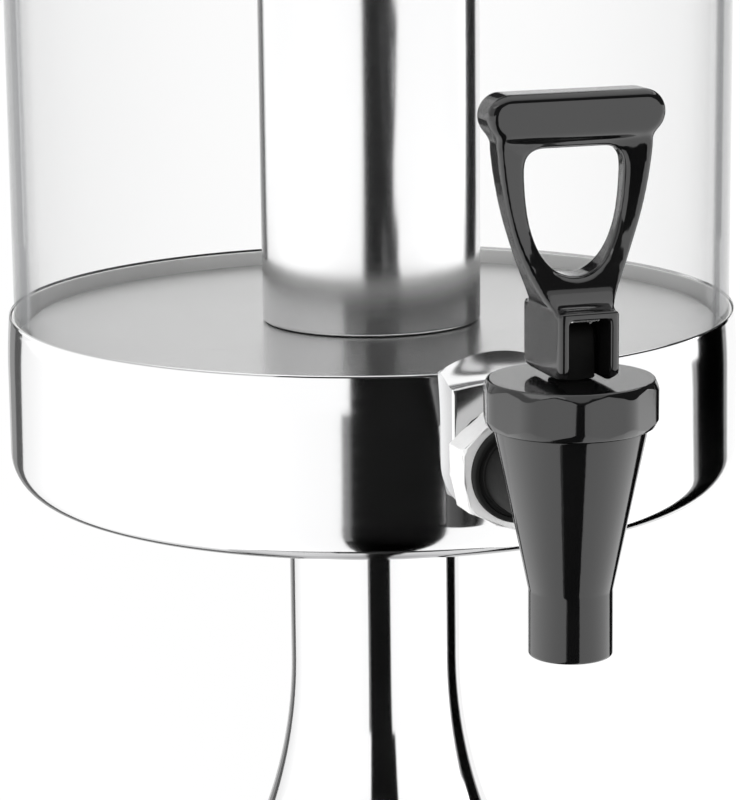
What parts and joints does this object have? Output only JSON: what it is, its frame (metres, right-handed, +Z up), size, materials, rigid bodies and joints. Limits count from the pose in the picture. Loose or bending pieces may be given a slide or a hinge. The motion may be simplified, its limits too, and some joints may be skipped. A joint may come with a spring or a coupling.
{
  "type": "juice dispenser",
  "caption": "Double juice dispenser: clear containers with ice tubes stand in steel bowls on flared columns, with lever taps over drip trays on one base.",
  "frame": {"origin": "on the table, under the middle of the base", "axes": "+Z up, -Y to the front where the taps are, +X to the right seen from the front"},
  "size_m": [0.49, 0.32, 0.5396],
  "materials": {
    "polished_steel": "mirror polished stainless steel",
    "brushed_steel": "brushed stainless steel",
    "black_plastic": "gloss black",
    "rubber": "matte black",
    "silicone": "pale translucent silicone",
    "clear_plastic": "clear"
  },
  "bodies": {
    "stand": {"base_shell": "brushed_steel", "base_plate": "brushed_steel", "feet": "rubber", "foot_screws": "brushed_steel", "tie_rods": "brushed_steel", "rod_washers": "brushed_steel", "rod_nuts": "brushed_steel", "column_left": "polished_steel", "bowl_left": "polished_steel", "floor_pan_left": "brushed_steel", "drain_elbow_left": "brushed_steel", "shank_gasket_left": "rubber", "tap_boss_left": "polished_steel", "shank_hexagon_left": "polished_steel", "seal_washer_left": "rubber", "tap_body_left": "black_plastic", "bonnet_left": "black_plastic", "column_right": "polished_steel", "bowl_right": "polished_steel", "floor_pan_right": "brushed_steel", "drain_elbow_right": "brushed_steel", "shank_gasket_right": "rubber", "tap_boss_right": "polished_steel", "shank_hexagon_right": "polished_steel", "seal_washer_right": "rubber", "tap_body_right": "black_plastic", "bonnet_right": "black_plastic"},
    "container_left": {"container_left": "clear_plastic", "container_gasket_left": "silicone"},
    "lid_left": {"lid_left": "polished_steel", "lid_rim_left": "polished_steel"},
    "ice_tube_left": {"ice_tube_left": "polished_steel", "tube_flange_left": "polished_steel"},
    "ice_cap_left": {"ice_cap_left": "polished_steel", "cap_knob_left": "polished_steel", "knob_screw_left": "brushed_steel"},
    "valve_left": {"valve_stem_left": "black_plastic", "valve_spring_left": "brushed_steel", "seat_cup_left": "rubber"},
    "handle_left": {"tap_handle_left": "black_plastic", "pivot_pin_left": "brushed_steel"},
    "drip_tray_left": {"drip_tray_left": "polished_steel"},
    "drip_grille_left": {"drip_grille_left": "brushed_steel"},
    "container_right": {"container_right": "clear_plastic", "container_gasket_right": "silicone"},
    "lid_right": {"lid_right": "polished_steel", "lid_rim_right": "polished_steel"},
    "ice_tube_right": {"ice_tube_right": "polished_steel", "tube_flange_right": "polished_steel"},
    "ice_cap_right": {"ice_cap_right": "polished_steel", "cap_knob_right": "polished_steel", "knob_screw_right": "brushed_steel"},
    "valve_right": {"valve_stem_right": "black_plastic", "valve_spring_right": "brushed_steel", "seat_cup_right": "rubber"},
    "handle_right": {"tap_handle_right": "black_plastic", "pivot_pin_right": "brushed_steel"},
    "drip_tray_right": {"drip_tray_right": "polished_steel"},
    "drip_grille_right": {"drip_grille_right": "brushed_steel"}
  },
  "joints": [
    {"name": "container_lift_left", "type": "slide", "parent": "stand", "child": "container_left", "axis": [0, 0, 1], "range_m": [0, 0.27]},
    {"name": "lid_lift_left", "type": "slide", "parent": "container_left", "child": "lid_left", "axis": [0, 0, 1], "range_m": [0, 0.28]},
    {"name": "ice_tube_lift_left", "type": "slide", "parent": "lid_left", "child": "ice_tube_left", "axis": [0, 0, 1], "range_m": [0, 0.28]},
    {"name": "ice_cap_lift_left", "type": "slide", "parent": "ice_tube_left", "child": "ice_cap_left", "axis": [0, 0, 1], "range_m": [0, 0.06]},
    {"name": "drip_tray_lift_left", "type": "slide", "parent": "stand", "child": "drip_tray_left", "axis": [0, 0, 1], "range_m": [0, 0.08]},
    {"name": "drip_grille_lift_left", "type": "slide", "parent": "drip_tray_left", "child": "drip_grille_left", "axis": [0, 0, 1], "range_m": [0, 0.05]},
    {"name": "valve_lift_left", "type": "slide", "parent": "stand", "child": "valve_left", "axis": [0, 0, 1], "range_m": [0, 0.00455], "deforming": ["valve_spring_left", "seat_cup_left"]},
    {"name": "handle_tilt_left", "type": "hinge", "parent": "valve_left", "child": "handle_left", "pos_m": [-0.125, -0.092, 0.2532], "axis": [1, 0, 0], "range_deg": [0, 40], "stiffness_Nm_per_rad": 0.3},
    {"name": "container_lift_right", "type": "slide", "parent": "stand", "child": "container_right", "axis": [0, 0, 1], "range_m": [0, 0.27]},
    {"name": "lid_lift_right", "type": "slide", "parent": "container_right", "child": "lid_right", "axis": [0, 0, 1], "range_m": [0, 0.28]},
    {"name": "ice_tube_lift_right", "type": "slide", "parent": "lid_right", "child": "ice_tube_right", "axis": [0, 0, 1], "range_m": [0, 0.28]},
    {"name": "ice_cap_lift_right", "type": "slide", "parent": "ice_tube_right", "child": "ice_cap_right", "axis": [0, 0, 1], "range_m": [0, 0.06]},
    {"name": "drip_tray_lift_right", "type": "slide", "parent": "stand", "child": "drip_tray_right", "axis": [0, 0, 1], "range_m": [0, 0.08]},
    {"name": "drip_grille_lift_right", "type": "slide", "parent": "drip_tray_right", "child": "drip_grille_right", "axis": [0, 0, 1], "range_m": [0, 0.05]},
    {"name": "valve_lift_right", "type": "slide", "parent": "stand", "child": "valve_right", "axis": [0, 0, 1], "range_m": [0, 0.00455], "deforming": ["valve_spring_right", "seat_cup_right"]},
    {"name": "handle_tilt_right", "type": "hinge", "parent": "valve_right", "child": "handle_right", "pos_m": [0.125, -0.092, 0.2532], "axis": [1, 0, 0], "range_deg": [0, 40], "stiffness_Nm_per_rad": 0.3}
  ],
  "couplings": [
    {"joint": "valve_lift_left", "follows": "handle_tilt_left", "m_per_rad": 0.0065},
    {"joint": "valve_lift_right", "follows": "handle_tilt_right", "m_per_rad": 0.0065}
  ]
}
